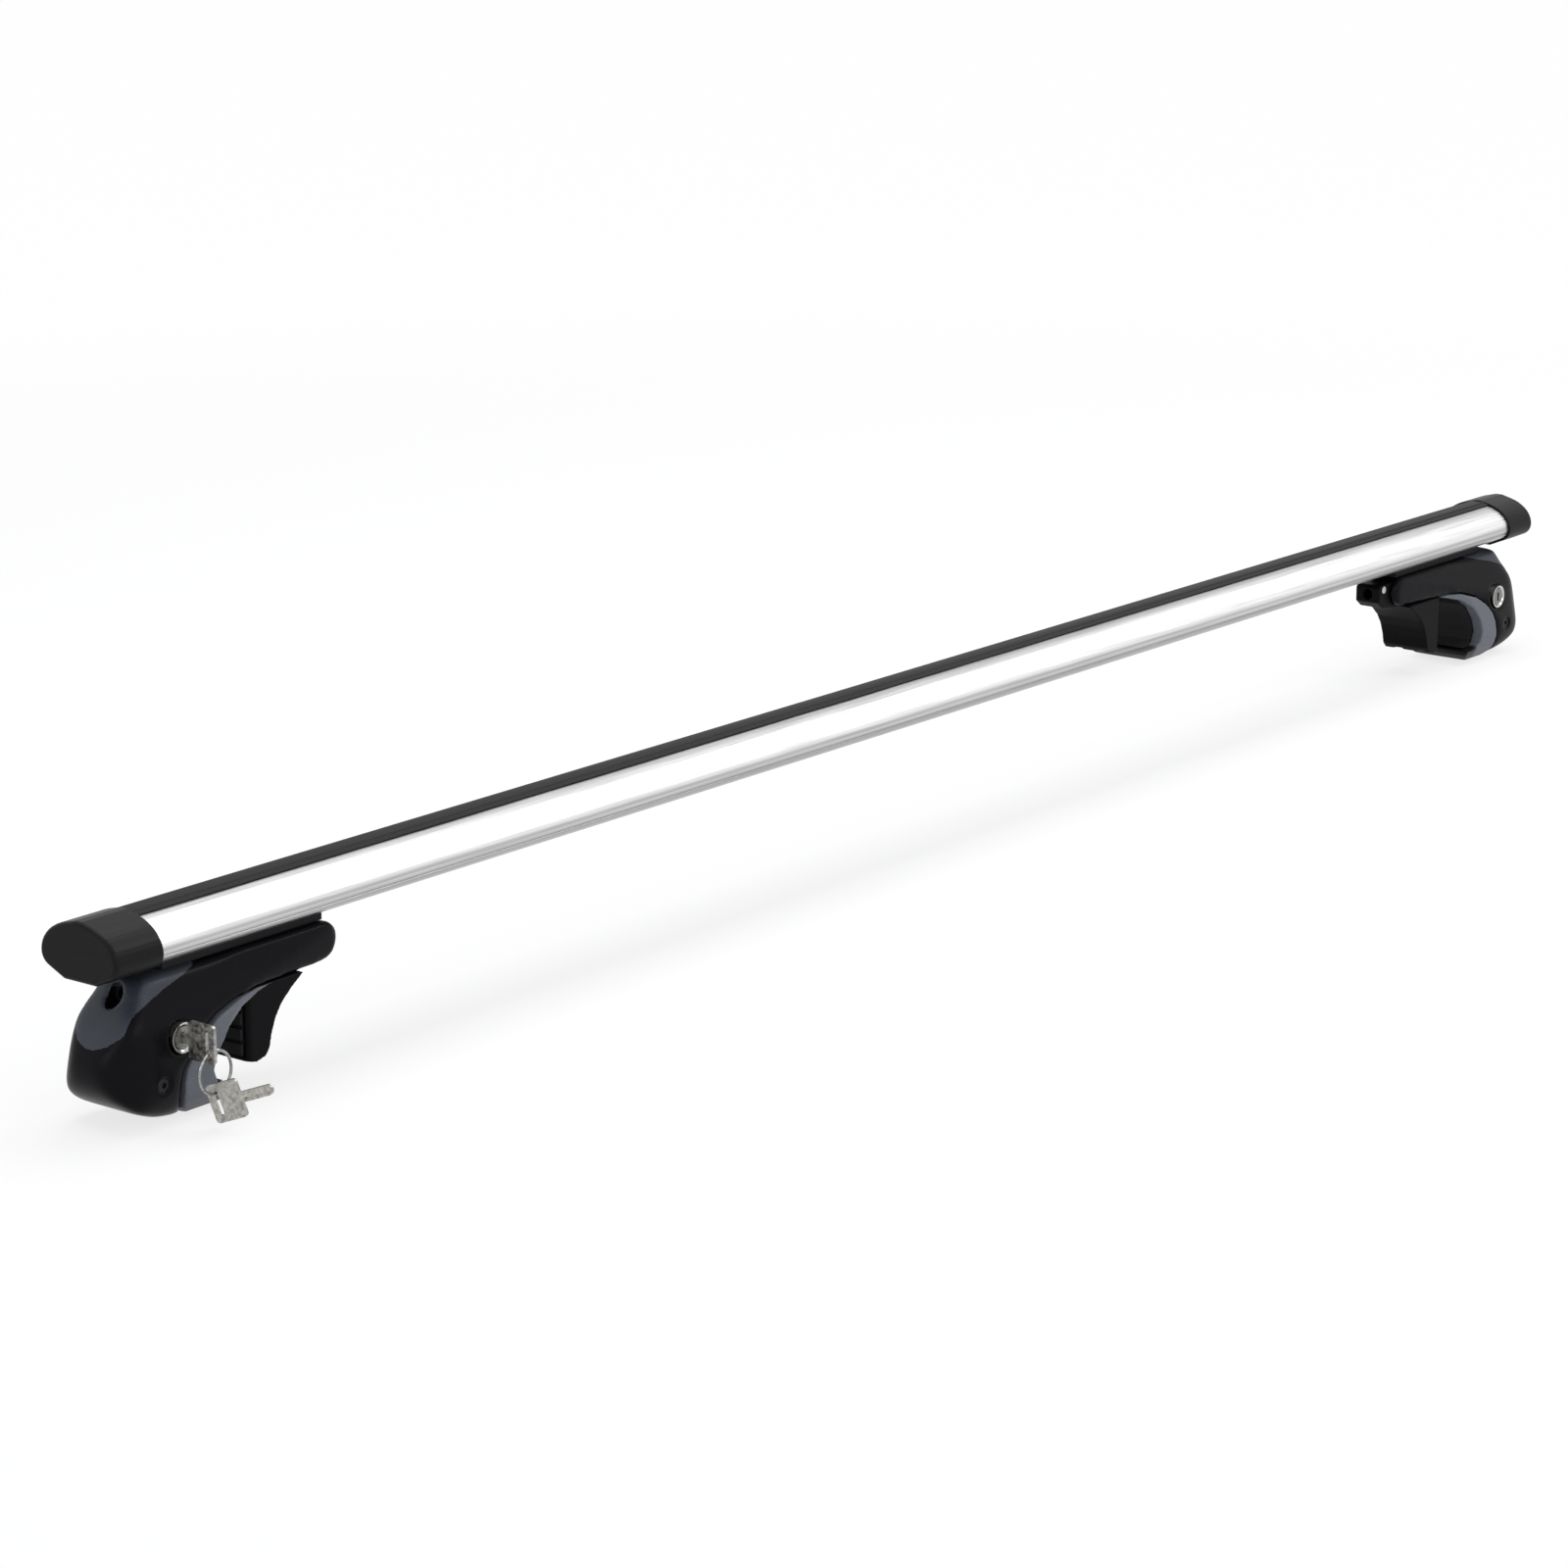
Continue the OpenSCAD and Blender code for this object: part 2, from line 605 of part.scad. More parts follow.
module left_barrel_nut() { color("silver") left_jaw_at() barrel_nut(); }
module right_barrel_nut() { color("silver") right_jaw_at() barrel_nut(); }
module left_stop_pins() { color("silver") left_jaw_at() stop_pins(); }
module right_stop_pins() { color("silver") right_jaw_at() stop_pins(); }
module left_clamp_screw() { color("silver") left_foot_at() clamp_screw(); }
module right_clamp_screw() { color("silver") right_foot_at() clamp_screw(); }
module left_washer() { color("silver") left_foot_at() washer(); }
module right_washer() { color("silver") right_foot_at() washer(); }
module left_lock_bezel() { color([0.75, 0.75, 0.76]) left_foot_at() lock_bezel(); }
module right_lock_bezel() { color([0.75, 0.75, 0.76]) right_foot_at() lock_bezel(); }
module left_lock_barrel() { color([0.6, 0.6, 0.6]) left_foot_at() lock_barrel(); }
module right_lock_barrel() { color([0.6, 0.6, 0.6]) right_foot_at() lock_barrel(); }
module left_lock_cam() { color("silver") left_foot_at() lock_cam(); }
module right_lock_cam() { color("silver") right_foot_at() lock_cam(); }
module key() { color([0.66, 0.65, 0.62]) left_foot_at() key_in_lock(); }
module key_ring() { color([0.7, 0.7, 0.7]) left_foot_at() split_ring(); }
module spare_key() { color([0.66, 0.65, 0.62]) left_foot_at() spare_key_solid(); }

bar();
top_strip();
left_end_cap();
right_end_cap();
left_shell();
right_shell();
left_cover();
right_cover();
left_liner();
right_liner();
left_rail_pad();
right_rail_pad();
left_seat_pad();
right_seat_pad();
left_slot_plate();
right_slot_plate();
left_plate_screws();
right_plate_screws();
left_shell_screw();
right_shell_screw();
left_jaw();
right_jaw();
left_jaw_pad();
right_jaw_pad();
left_barrel_nut();
right_barrel_nut();
left_stop_pins();
right_stop_pins();
left_clamp_screw();
right_clamp_screw();
left_washer();
right_washer();
left_lock_bezel();
right_lock_bezel();
left_lock_barrel();
right_lock_barrel();
left_lock_cam();
right_lock_cam();
key();
key_ring();
spare_key();
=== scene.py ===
import json
import math

import bpy
from mathutils import Matrix, Vector
from mathutils.bvhtree import BVHTree

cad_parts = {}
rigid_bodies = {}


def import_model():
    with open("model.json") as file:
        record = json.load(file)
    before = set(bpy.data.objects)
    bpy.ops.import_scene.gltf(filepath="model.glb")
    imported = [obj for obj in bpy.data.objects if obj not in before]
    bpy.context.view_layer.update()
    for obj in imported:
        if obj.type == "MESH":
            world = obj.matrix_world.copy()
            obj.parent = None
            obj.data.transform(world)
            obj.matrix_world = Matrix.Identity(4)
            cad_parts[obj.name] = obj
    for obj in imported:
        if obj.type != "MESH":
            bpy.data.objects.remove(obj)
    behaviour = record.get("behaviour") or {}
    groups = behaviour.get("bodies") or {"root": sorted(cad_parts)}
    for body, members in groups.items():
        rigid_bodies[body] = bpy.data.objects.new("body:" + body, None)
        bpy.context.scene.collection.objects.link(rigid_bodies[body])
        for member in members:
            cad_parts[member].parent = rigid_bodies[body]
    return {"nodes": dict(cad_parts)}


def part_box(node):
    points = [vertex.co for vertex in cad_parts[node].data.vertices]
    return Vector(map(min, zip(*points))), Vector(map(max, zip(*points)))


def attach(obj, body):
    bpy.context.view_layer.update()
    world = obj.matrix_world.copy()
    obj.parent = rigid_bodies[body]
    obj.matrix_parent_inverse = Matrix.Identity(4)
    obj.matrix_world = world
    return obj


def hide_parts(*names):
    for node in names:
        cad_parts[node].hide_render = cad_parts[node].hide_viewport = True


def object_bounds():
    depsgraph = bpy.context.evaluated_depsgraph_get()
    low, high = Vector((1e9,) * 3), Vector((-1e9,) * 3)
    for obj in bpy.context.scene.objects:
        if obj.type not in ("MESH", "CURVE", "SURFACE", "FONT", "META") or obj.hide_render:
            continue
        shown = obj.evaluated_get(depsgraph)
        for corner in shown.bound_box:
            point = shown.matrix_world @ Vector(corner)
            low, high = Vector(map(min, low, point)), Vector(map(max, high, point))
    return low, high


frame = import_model()
cad_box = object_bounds()
nodes = frame["nodes"]
bpy.ops.object.select_all(action="DESELECT")


# Camera: a long lens that looks along the bar from the left end, a little above it. It is
# placed by the bar's vanishing point and the outline of the near end cap.
bpy.ops.object.camera_add()
camera = bpy.context.object
camera.name = "camera"
camera.data.lens = 104.4
camera.data.sensor_width = 36.0
camera.data.clip_start = 0.05
camera.data.clip_end = 60.0
right = Vector((0.61612, -0.78766, 0.0))
down = Vector((-0.19798, -0.15486, -0.96790))
forward = Vector((0.76237, 0.59634, -0.25135))
turn = Matrix((right, -down, -forward)).transposed()
camera.matrix_world = Matrix.Translation((-2.0496, -1.4997, 0.5901)) @ turn.to_4x4()
bpy.context.scene.camera = camera


# Studio: a pale floor under the two feet, a white surround and four large soft lamps. The
# surround and the floor show white to the camera and in the metal, and the floor keeps the shadow.
def combined(tree, operation, first, second):
    result = tree.nodes.new("ShaderNodeMath")
    result.operation = operation
    tree.links.new(first, result.inputs[0])
    tree.links.new(second, result.inputs[1])
    return result.outputs[0]


def seen_itself(tree):
    rays = tree.nodes.new("ShaderNodeLightPath").outputs
    plain = combined(tree, "MAXIMUM", rays["Is Camera Ray"], rays["Is Glossy Ray"])
    return combined(tree, "MAXIMUM", plain, rays["Is Transmission Ray"])


def blended(tree, share, first, second):
    choose = tree.nodes.new("ShaderNodeMixShader")
    tree.links.new(share, choose.inputs[0])
    tree.links.new(first, choose.inputs[1])
    tree.links.new(second, choose.inputs[2])
    return choose.outputs[0]


scene = bpy.context.scene
scene.view_settings.view_transform = "Standard"

world = bpy.data.worlds.new("studio")
scene.world = world
world.use_nodes = True
tree = world.node_tree
tree.nodes.clear()
fill_light = tree.nodes.new("ShaderNodeBackground")
fill_light.inputs["Color"].default_value = (0.95, 0.97, 1.0, 1)
fill_light.inputs["Strength"].default_value = 0.55
white = tree.nodes.new("ShaderNodeBackground")
white.inputs["Color"].default_value = (1, 1, 1, 1)
white.inputs["Strength"].default_value = 1.0
sky = tree.nodes.new("ShaderNodeOutputWorld")
mixed = blended(tree, seen_itself(tree), fill_light.outputs[0], white.outputs[0])
tree.links.new(mixed, sky.inputs["Surface"])

floor_gap = 0.0005
bpy.ops.mesh.primitive_plane_add(size=30, location=(0, 0, cad_box[0].z - floor_gap))
floor = bpy.context.object
floor.name = "floor"
floor_paint = bpy.data.materials.new("pale_floor")
floor_paint.use_nodes = True
tree = floor_paint.node_tree
tree.nodes.clear()
place = tree.nodes.new("ShaderNodeTexCoord")
far = tree.nodes.new("ShaderNodeVectorMath")
far.operation = "LENGTH"
tree.links.new(place.outputs["Object"], far.inputs[0])
paler = tree.nodes.new("ShaderNodeMapRange")
paler.interpolation_type = "SMOOTHSTEP"
paler.inputs["From Min"].default_value = 0.7
paler.inputs["From Max"].default_value = 2.2
paler.inputs["To Min"].default_value = 0.76
paler.inputs["To Max"].default_value = 0.985
tree.links.new(far.outputs["Value"], paler.inputs["Value"])
share = combined(tree, "MULTIPLY", seen_itself(tree), paler.outputs["Result"])
board = tree.nodes.new("ShaderNodeBsdfDiffuse")
board.inputs["Color"].default_value = (0.86, 0.86, 0.86, 1)
glow = tree.nodes.new("ShaderNodeEmission")
glow.inputs["Strength"].default_value = 1.0
out = tree.nodes.new("ShaderNodeOutputMaterial")
mixed = blended(tree, share, board.outputs[0], glow.outputs[0])
tree.links.new(mixed, out.inputs["Surface"])
floor.data.materials.append(floor_paint)


def soft_lamp(name, place, aim, width, height, watts):
    bpy.ops.object.light_add(type="AREA", location=place)
    lamp = bpy.context.object
    lamp.name = name
    lamp.data.shape = "RECTANGLE"
    lamp.data.size = width
    lamp.data.size_y = height
    lamp.data.energy = watts
    lamp.rotation_euler = (Vector(aim) - Vector(place)).to_track_quat("-Z", "Y").to_euler()


soft_lamp("top_lamp", (0.0, 0.3, 2.2), (0, 0, 0), 3.2, 1.2, 36)
soft_lamp("front_lamp", (-0.6, -2.4, 1.1), (0, 0, 0), 2.4, 0.8, 11)
soft_lamp("end_lamp", (-2.8, 0.2, 0.9), (-0.4, 0, 0), 1.2, 0.6, 5)
soft_lamp("ridge_lamp", (1.3, -0.75, 1.35), (-0.2, 0, 0), 1.6, 0.35, 14)


# Bar: an extruded wing section of anodised aluminium, satin, with faint lines along its length
# from the die. It is the CAD node with a brushed finish, and its colour is painted in light and
# dark bands by height that stand in for reflections and shade.
def start_finish(name):
    paint = bpy.data.materials.new(name)
    paint.use_nodes = True
    return paint, paint.node_tree, paint.node_tree.nodes["Principled BSDF"]


def grain(tree, scale, stretch=(1, 1, 1), detail=4.0):
    place = tree.nodes.new("ShaderNodeTexCoord")
    spread = tree.nodes.new("ShaderNodeMapping")
    spread.inputs["Scale"].default_value = stretch
    noise = tree.nodes.new("ShaderNodeTexNoise")
    noise.inputs["Scale"].default_value = scale
    noise.inputs["Detail"].default_value = detail
    tree.links.new(place.outputs["Object"], spread.inputs["Vector"])
    tree.links.new(spread.outputs["Vector"], noise.inputs["Vector"])
    return noise.outputs["Fac"]


noise_low = 0.3
noise_high = 0.7


def tint(tree, fac, low, high, socket):
    colours = tree.nodes.new("ShaderNodeValToRGB")
    colours.color_ramp.elements[0].position = noise_low
    colours.color_ramp.elements[0].color = (*low, 1)
    colours.color_ramp.elements[1].position = noise_high
    colours.color_ramp.elements[1].color = (*high, 1)
    tree.links.new(fac, colours.inputs["Fac"])
    tree.links.new(colours.outputs["Color"], socket)
    return colours.outputs["Color"]


def spanned(tree, fac, low, high):
    span = tree.nodes.new("ShaderNodeMapRange")
    span.inputs["From Min"].default_value = noise_low
    span.inputs["From Max"].default_value = noise_high
    span.inputs["To Min"].default_value = low
    span.inputs["To Max"].default_value = high
    tree.links.new(fac, span.inputs["Value"])
    return span.outputs["Result"]


def vary(tree, fac, low, high, socket):
    tree.links.new(spanned(tree, fac, low, high), socket)


def coordinates(tree):
    place = tree.nodes.new("ShaderNodeTexCoord")
    parts = tree.nodes.new("ShaderNodeSeparateXYZ")
    tree.links.new(place.outputs["Object"], parts.inputs["Vector"])
    return parts.outputs


def darkened(tree, colour, factor, socket):
    tone = tree.nodes.new("ShaderNodeVectorMath")
    tone.operation = "SCALE"
    tree.links.new(colour, tone.inputs[0])
    tree.links.new(factor, tone.inputs["Scale"])
    tree.links.new(tone.outputs["Vector"], socket)


def relief(tree, shader, fac, strength, depth):
    bump = tree.nodes.new("ShaderNodeBump")
    bump.inputs["Strength"].default_value = strength
    bump.inputs["Distance"].default_value = depth
    tree.links.new(fac, bump.inputs["Height"])
    tree.links.new(bump.outputs["Normal"], shader.inputs["Normal"])


def dress(node, paint):
    for held in nodes[node].material_slots:
        held.material = paint


aluminium, tree, shader = start_finish("satin_aluminium")
shader.inputs["Metallic"].default_value = 1.0
die_lines = grain(tree, 900, (0.02, 1, 1), 2.0)
# Painted reflections and shade: the base colour is a ramp of greys by height on the bar, light and
# dark bands across its section, and the die lines only vary it a little.
level = tree.nodes.new("ShaderNodeMapRange")
level.inputs["From Min"].default_value = -0.0275
level.inputs["From Max"].default_value = -0.0015
tree.links.new(coordinates(tree)["Z"], level.inputs["Value"])
painted_reflection_bands = tree.nodes.new("ShaderNodeValToRGB")
reflection_and_shade_greys = ((0.0, 0.34), (0.16, 0.42), (0.25, 0.46), (0.30, 0.38), (0.335, 0.42), (0.37, 0.52),
         (0.404, 0.62), (0.43, 0.47), (0.46, 0.50), (0.50, 0.72), (0.56, 0.86), (0.76, 0.78),
         (0.88, 0.54), (0.94, 0.42), (1.0, 0.36))
for position, grey in reflection_and_shade_greys[2:]:
    painted_reflection_bands.color_ramp.elements.new(position)
for element, (position, grey) in zip(painted_reflection_bands.color_ramp.elements, reflection_and_shade_greys):
    element.position = position
    element.color = (grey, grey, grey * 1.005, 1)
tree.links.new(level.outputs["Result"], painted_reflection_bands.inputs["Fac"])
streak = spanned(tree, die_lines, 0.9, 1.05)
darkened(tree, painted_reflection_bands.outputs["Color"], streak, shader.inputs["Base Color"])
vary(tree, die_lines, 0.3, 0.42, shader.inputs["Roughness"])
relief(tree, shader, die_lines, 0.12, 0.00005)
dress("bar", aluminium)


# Rubber strip: a dark extruded strip with a flat raised middle, pressed into the bar's upper
# slot from one end cap to the other. It is a copy of its solid, drawn out to the shorter caps.
def moulded(name, scale, low, high, rough, gloss, strength, depth=0.0001, stretch=(1, 1, 1)):
    paint, tree, shader = start_finish(name)
    specks = grain(tree, scale, stretch)
    colour = tint(tree, specks, low, high, shader.inputs["Base Color"])
    vary(tree, specks, *rough, shader.inputs["Roughness"])
    shader.inputs["Specular IOR Level"].default_value = gloss
    relief(tree, shader, specks, strength, depth)
    return paint, tree, shader, colour


def pick(piece):
    bpy.ops.object.select_all(action="DESELECT")
    piece.select_set(True)
    bpy.context.view_layer.objects.active = piece


def twin(source, name):
    piece = source.copy()
    piece.data = source.data.copy()
    piece.name = name
    piece.data.name = name
    for key in list(piece.keys()):
        del piece[key]
    piece.parent = None
    scene.collection.objects.link(piece)
    pick(piece)
    return piece


def copy_of(node, name):
    piece = twin(nodes[node], name)
    bpy.ops.object.mode_set(mode="EDIT")
    bpy.ops.mesh.select_all(action="SELECT")
    bpy.ops.mesh.remove_doubles(threshold=0.00001)
    bpy.ops.object.mode_set(mode="OBJECT")
    return piece


def settle(piece, body, node, paint):
    piece.data.materials.clear()
    piece.data.materials.append(paint)
    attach(piece, body)
    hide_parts(node)


def slide_end(piece, end_x, shift):
    bpy.ops.object.mode_set(mode="EDIT")
    bpy.ops.mesh.select_mode(type="VERT")
    bpy.ops.mesh.select_all(action="DESELECT")
    bpy.ops.object.mode_set(mode="OBJECT")
    for corner in piece.data.vertices:
        corner.select = abs(corner.co.x - end_x) < 0.0002
    bpy.ops.object.mode_set(mode="EDIT")
    bpy.ops.transform.translate(value=(shift, 0, 0))
    bpy.ops.object.mode_set(mode="OBJECT")


rubber = moulded("strip_rubber", 2600, (0.007, 0.007, 0.0075), (0.016, 0.016, 0.0165),
                 (0.5, 0.68), 0.13, 0.25, 0.0002, (0.15, 1, 1))[0]
cap_trim = 0.0105
strip = copy_of("top_strip", "strip")
for end_x in (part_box("top_strip")[0].x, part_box("top_strip")[1].x):
    slide_end(strip, end_x, math.copysign(cap_trim, end_x))
bpy.ops.object.shade_smooth_by_angle(angle=math.radians(35))
settle(strip, "rail", "top_strip", rubber)


# End caps: black moulded sleeves pushed over the bar's ends. Each is a copy of its solid with
# the open end drawn back to the length in the photograph, and the rim of the closed end rounded.
cap_plastic = moulded("black_cap_plastic", 1800, (0.005, 0.005, 0.0053),
                      (0.009, 0.009, 0.0093), (0.34, 0.46), 0.1, 0.3)[0]

for side in ("left", "right"):
    cap = copy_of(side + "_end_cap", side + "_cap")
    low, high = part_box(side + "_end_cap")
    closed_x, open_x = (low.x, high.x) if side == "left" else (high.x, low.x)
    slide_end(cap, open_x, math.copysign(cap_trim, closed_x))
    bpy.ops.object.mode_set(mode="EDIT")
    bpy.ops.mesh.select_mode(type="EDGE")
    bpy.ops.mesh.select_all(action="SELECT")
    bpy.ops.mesh.dissolve_limited(angle_limit=math.radians(1))
    bpy.ops.mesh.select_all(action="DESELECT")
    bpy.ops.object.mode_set(mode="OBJECT")
    for edge in cap.data.edges:
        ends = [cap.data.vertices[i].co.x for i in edge.vertices]
        edge.select = all(abs(x - closed_x) < 0.0001 for x in ends)
    bpy.ops.object.mode_set(mode="EDIT")
    bpy.ops.mesh.bevel(offset=0.0022, segments=5, affect="EDGES")
    bpy.ops.object.mode_set(mode="OBJECT")
    bpy.ops.object.shade_smooth_by_angle(angle=math.radians(35))
    even = cap.modifiers.new("even", "WEIGHTED_NORMAL")
    even.keep_sharp = True
    bpy.ops.object.modifier_apply(modifier=even.name)
    settle(cap, "rail", side + "_end_cap", cap_plastic)


# Feet: black moulded shells with an organic form. Shell and cover are fused, remeshed finely and
# relaxed, most of all at the lobe and least round the lock, the screw and the key's hole. Places
# on a foot are in millimetres inward from its outer end, across, and up from the bar's underside.
outward = {"left": -1, "right": 1}
bar_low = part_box("bar")[0].z
foot_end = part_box("right_end_cap")[1].x - 0.001


def remeshed(piece, voxel):
    remesh = piece.modifiers.new("remesh", "REMESH")
    remesh.mode = "VOXEL"
    remesh.voxel_size = voxel
    bpy.ops.object.modifier_apply(modifier=remesh.name)


def relaxed(piece, rounds, group=""):
    relax = piece.modifiers.new("relax", "SMOOTH")
    relax.factor = 0.5
    relax.iterations = rounds
    relax.vertex_group = group
    bpy.ops.object.modifier_apply(modifier=relax.name)


def soften(piece, voxel, rounds):
    remeshed(piece, voxel)
    relaxed(piece, rounds)
    bpy.ops.object.shade_smooth()


def foot_point(co, side):
    return (foot_end - outward[side] * co.x) * 1000, co.y * 1000, (co.z - bar_low) * 1000


def eased(value, low, high):
    share = min(max((value - low) / (high - low), 0.0), 1.0)
    return share * share * (3 - 2 * share)


def relax_share(co, side):
    x, y, z = foot_point(co, side)
    in_jaw_tunnel = x > 74 and abs(y) < 11 and z < -5
    if in_jaw_tunnel:
        return 0.01
    far = 99
    from_lock = math.hypot(x - 41, z + 33.5) if y < 0 else far
    from_screw = math.hypot(x - 28, z + 54) if y < 0 else far
    from_hole = math.hypot(y, z + 13) if x < 30 else far
    free = eased(from_lock, 9, 16) * eased(from_screw, 4.5, 9) * eased(from_hole, 6.5, 11)
    arm = 1 - 0.75 * eased(x, 66, 96)
    return max(0.06, free * arm)


def boolean(piece, tool, operation):
    pick(piece)
    cut = piece.modifiers.new("cut", "BOOLEAN")
    cut.operation = operation
    cut.object = tool
    bpy.ops.object.modifier_apply(modifier=cut.name)
    bpy.data.objects.remove(tool)


def block_at(centre, size):
    bpy.ops.mesh.primitive_cube_add(size=1, location=centre)
    block = bpy.context.object
    block.scale = size
    bpy.ops.object.transform_apply(location=True, rotation=True, scale=True)
    return block


def rounded_plan(shell, side):
    centre = (outward[side] * (foot_end - 0.017), 0, bar_low - 0.0245)
    corners = block_at(centre, (0.038, 0.056, 0.059))
    centre = (outward[side] * (foot_end - 0.0362), 0, bar_low - 0.024)
    bpy.ops.mesh.primitive_cone_add(vertices=96, radius1=1.121, radius2=0.784, depth=1,
                                    location=centre)
    oval = bpy.context.object
    oval.scale = (0.0362, 0.0262, 0.064)
    bpy.ops.object.transform_apply(location=True, rotation=True, scale=True)
    boolean(corners, oval, "DIFFERENCE")
    boolean(shell, corners, "DIFFERENCE")


def rounded_end(shell, side):
    low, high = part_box(side + "_shell")
    spare = 0.02
    centre = (low + high) / 2 - Vector((0, 0, spare / 2))
    block = block_at(centre, (high - low) + Vector((0, spare, spare)))
    inner = high.x if side == "left" else low.x
    for edge in block.data.edges:
        ends = [block.data.vertices[i].co for i in edge.vertices]
        edge.select = all(abs(co.x - inner) < 0.0001 and co.z > high.z - 0.001 for co in ends)
    bpy.ops.object.mode_set(mode="EDIT")
    bpy.ops.mesh.select_mode(type="EDGE")
    bpy.ops.mesh.bevel(offset=0.011, segments=10, affect="EDGES")
    bpy.ops.object.mode_set(mode="OBJECT")
    boolean(shell, block, "INTERSECT")


def clear_way(shell, side, x0, x1, half, z0, z1):
    centre = (outward[side] * (foot_end - (x0 + x1) / 2000), 0, bar_low + (z0 + z1) / 2000)
    block = block_at(centre, ((x1 - x0) / 1000, half / 500, (z1 - z0) / 1000))
    boolean(shell, block, "DIFFERENCE")


shell_plastic = moulded("black_shell_plastic", 1500, (0.0016, 0.0016, 0.0026),
                        (0.0034, 0.0034, 0.0052), (0.26, 0.36), 0.08, 0.2)[0]
relax_rounds = 170
shells = {}
for side in ("left", "right"):
    cover_part = copy_of(side + "_cover", side + "_cover_part")
    shell = copy_of(side + "_shell", side + "_foot_shell")
    cover_part.select_set(True)
    bpy.ops.object.join()
    rounded_end(shell, side)
    rounded_plan(shell, side)
    remeshed(shell, 0.001)
    group = shell.vertex_groups.new(name="calm")
    for vertex in shell.data.vertices:
        group.add([vertex.index], relax_share(vertex.co, side), "REPLACE")
    relaxed(shell, relax_rounds, "calm")
    clear_way(shell, side, 83.9, 162, 9.35, -36, -5.75)
    clear_way(shell, side, 79.9, 132.1, 17.35, -44, -23.45)
    bpy.ops.object.shade_smooth()
    shell.vertex_groups.clear()
    shells[side] = shell
    settle(shell, side + "_foot", side + "_shell", shell_plastic)


# Covers: blue-grey saddles that lie over the outer end and the shoulders of each foot, with a
# round tongue outside. Each is the patch of the foot's skin above the cover's edge, given a
# thickness so that it stands a little proud.
cover_edge = ((-5, -20), (10, -20), (18, -19), (27, -15), (37, -11.5), (53, -7.8), (62, -5.2),
              (67, -3))


def edge_height(x):
    for (x0, z0), (x1, z1) in zip(cover_edge, cover_edge[1:]):
        if x0 <= x <= x1:
            return z0 + (z1 - z0) * (x - x0) / (x1 - x0)
    return 99


def under_cover(co, side):
    x, y, z = foot_point(co, side)
    tongue = x < 22 and abs(y) < 16.5 and z > -14.8 - math.sqrt(20.6 ** 2 - y * y)
    from_hole = math.hypot(y, max(abs(z + 13) - 1, 0))
    hole = x < 32 and from_hole < 4.5
    return (z > edge_height(x) or tongue) and not hole


cover_plastic = moulded("blue_grey_cover", 1500, (0.026, 0.031, 0.043), (0.036, 0.042, 0.055),
                        (0.36, 0.46), 0.3, 0.2)[0]
foot_depth = 0.06
for side in ("left", "right"):
    cover = twin(shells[side], side + "_foot_cover")
    skin = BVHTree.FromObject(cover, bpy.context.evaluated_depsgraph_get())
    for face in cover.data.polygons:
        outside = under_cover(face.center, side)
        if outside:
            just_off = face.center + face.normal * 0.0004
            outside = skin.ray_cast(just_off, face.normal, foot_depth)[0] is None
        face.select = not outside
    bpy.ops.object.mode_set(mode="EDIT")
    bpy.ops.mesh.select_mode(type="FACE")
    bpy.ops.mesh.delete(type="FACE")
    bpy.ops.mesh.select_mode(type="VERT")
    bpy.ops.mesh.select_all(action="DESELECT")
    bpy.ops.mesh.select_non_manifold()
    bpy.ops.mesh.select_more()
    bpy.ops.object.mode_set(mode="OBJECT")
    rim = cover.vertex_groups.new(name="rim")
    rim.add([vertex.index for vertex in cover.data.vertices if vertex.select], 1.0, "REPLACE")
    relaxed(cover, 12, "rim")
    cover.vertex_groups.clear()
    wall = cover.modifiers.new("wall", "SOLIDIFY")
    wall.thickness = 0.0013
    wall.offset = -0.55
    bpy.ops.object.modifier_apply(modifier=wall.name)
    bpy.ops.object.shade_smooth_by_angle(angle=math.radians(50))
    settle(cover, side + "_foot", side + "_cover", cover_plastic)


# Liners: grey mouldings set into each foot's arch, which carry the rubber pad. The hook at the
# lower inner end and the hem below it are nearly black.
def stepped(tree, value, low, high):
    step = tree.nodes.new("ShaderNodeMapRange")
    step.interpolation_type = "SMOOTHSTEP"
    step.inputs["From Min"].default_value = low
    step.inputs["From Max"].default_value = high
    step.inputs["To Min"].default_value = hook_share
    tree.links.new(value, step.inputs["Value"])
    return step.outputs["Result"]


hook_share = 0.03
liner_plastic, tree, shader, grey = moulded("grey_liner", 1500, (0.085, 0.092, 0.11),
                                            (0.12, 0.13, 0.15), (0.42, 0.55), 0.35, 0.2)
parts = coordinates(tree)
side_x = tree.nodes.new("ShaderNodeMath")
side_x.operation = "ABSOLUTE"
tree.links.new(parts["X"], side_x.inputs[0])
outside_hook = stepped(tree, side_x.outputs[0], 0.5945, 0.5965)
above_hook = stepped(tree, parts["Z"], -0.0915, -0.0885)
above_hem = stepped(tree, parts["Z"], -0.0992, -0.0984)
grey_share = combined(tree, "MULTIPLY", combined(tree, "MAXIMUM", outside_hook, above_hook),
                      above_hem)
darkened(tree, grey, grey_share, shader.inputs["Base Color"])

for side in ("left", "right"):
    liner = copy_of(side + "_liner", side + "_arch_liner")
    soften(liner, 0.0006, 4)
    settle(liner, side + "_foot", side + "_liner", liner_plastic)


# Pads: black rubber against the rail on the arch and the jaw, and between the foot and the bar.
pad_rubber = moulded("pad_rubber", 2200, (0.006, 0.006, 0.007), (0.013, 0.013, 0.015),
                     (0.7, 0.85), 0.25, 0.35, 0.0002)[0]
for side in ("left", "right"):
    for pad in ("rail_pad", "seat_pad", "jaw_pad"):
        dress(side + "_" + pad, pad_rubber)


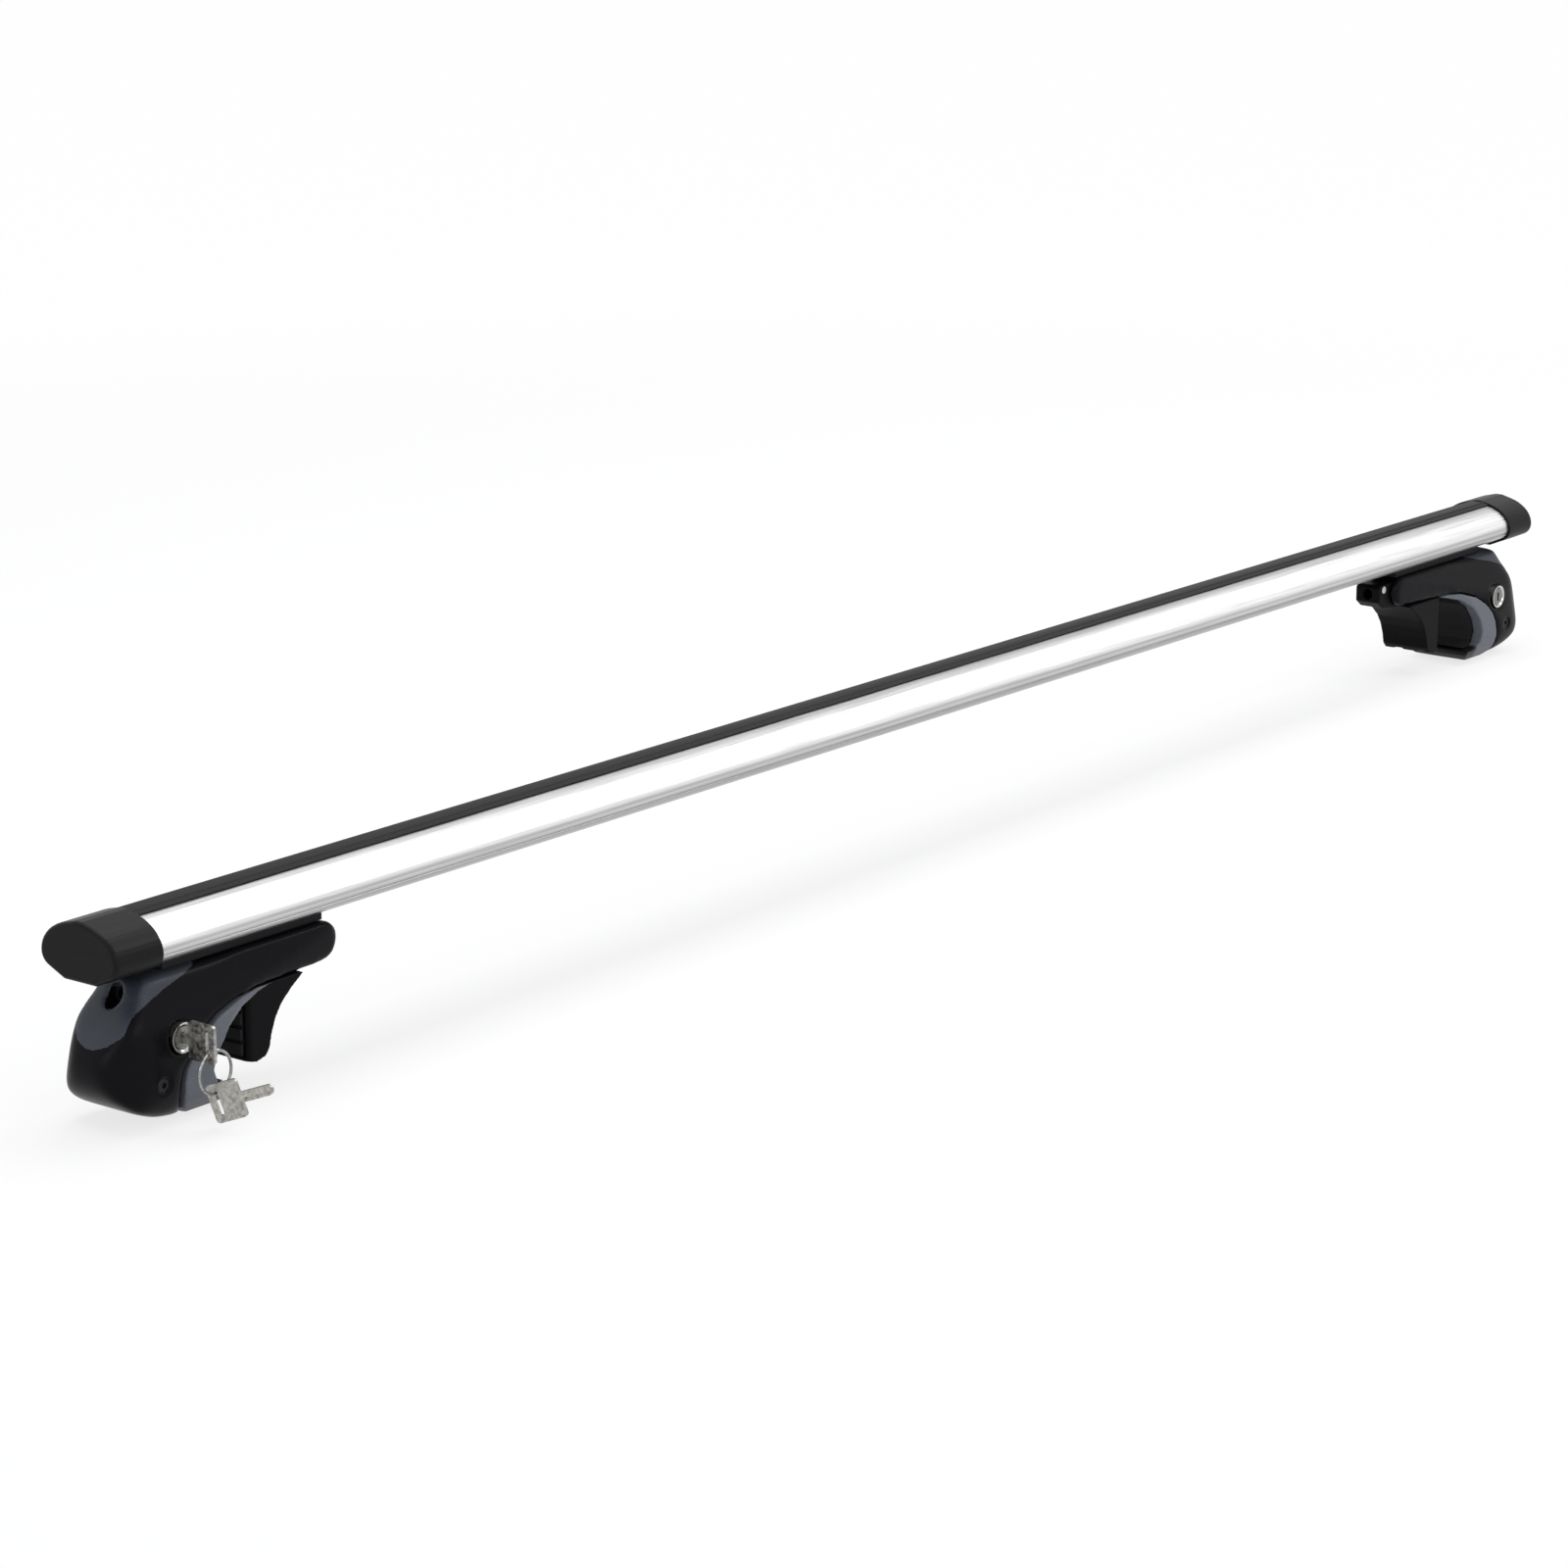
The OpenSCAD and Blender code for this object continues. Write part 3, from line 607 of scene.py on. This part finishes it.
# Jaws: black moulded hooks that hang below the arm and run in it on a tail.
jaw_plastic = moulded("black_jaw_plastic", 1300, (0.0022, 0.0022, 0.003), (0.005, 0.005, 0.006),
                      (0.38, 0.48), 0.05, 0.25)[0]
for side in ("left", "right"):
    jaw = copy_of(side + "_jaw", side + "_clamp_jaw")
    soften(jaw, 0.0007, 4)
    settle(jaw, side + "_jaw_body", side + "_jaw", jaw_plastic)


# Clamp hardware: zinc-plated steel, faintly mottled, and two screws of black oxide steel in
# each foot, low on its side and behind the key's hole.
def metal(name, scale, low, high, rough, detail=4.0):
    paint, tree, shader = start_finish(name)
    shader.inputs["Metallic"].default_value = 1.0
    rub = grain(tree, scale, detail=detail)
    tint(tree, rub, low, high, shader.inputs["Base Color"])
    vary(tree, rub, *rough, shader.inputs["Roughness"])
    return paint, tree, shader, rub


zinc, tree, shader, rub = metal("zinc_steel", 420, (0.5, 0.5, 0.47), (0.68, 0.68, 0.65),
                                (0.28, 0.45))
relief(tree, shader, grain(tree, 3000), 0.15, 0.00005)
for side in ("left", "right"):
    for part in ("slot_plate", "plate_screws", "barrel_nut", "stop_pins", "washer", "lock_cam"):
        dress(side + "_" + part, zinc)

oxide = metal("black_oxide_steel", 900, (0.02, 0.02, 0.02), (0.05, 0.05, 0.05), (0.4, 0.6))[0]
for side in ("left", "right"):
    dress(side + "_shell_screw", oxide)
    dress(side + "_clamp_screw", oxide)


# Locks: a bright rolled bezel round a turning barrel of duller zinc alloy.
bezel_chrome = metal("bezel_chrome", 700, (0.4, 0.4, 0.39), (0.62, 0.62, 0.6), (0.12, 0.28))[0]
barrel_metal = metal("barrel_metal", 900, (0.14, 0.14, 0.13), (0.3, 0.3, 0.29), (0.3, 0.5))[0]
for side in ("left", "right"):
    dress(side + "_lock_bezel", bezel_chrome)
    dress(side + "_lock_barrel", barrel_metal)


# Keys: nickel-plated steel blanks, worn grey on their faces, one in the lock and one on the ring.
key_metal, tree, shader, wear = metal("worn_nickel", 520, (0.22, 0.21, 0.19), (0.5, 0.49, 0.46),
                                      (0.25, 0.5), detail=8.0)
relief(tree, shader, wear, 0.3, 0.0001)
dress("key", key_metal)
dress("spare_key", key_metal)


# Ring: a split ring of steel wire, darker than the keys, that hangs in the first key's slot.
ring_metal = metal("ring_wire", 900, (0.22, 0.22, 0.22), (0.42, 0.42, 0.42), (0.2, 0.35))[0]
dress("key_ring", ring_metal)
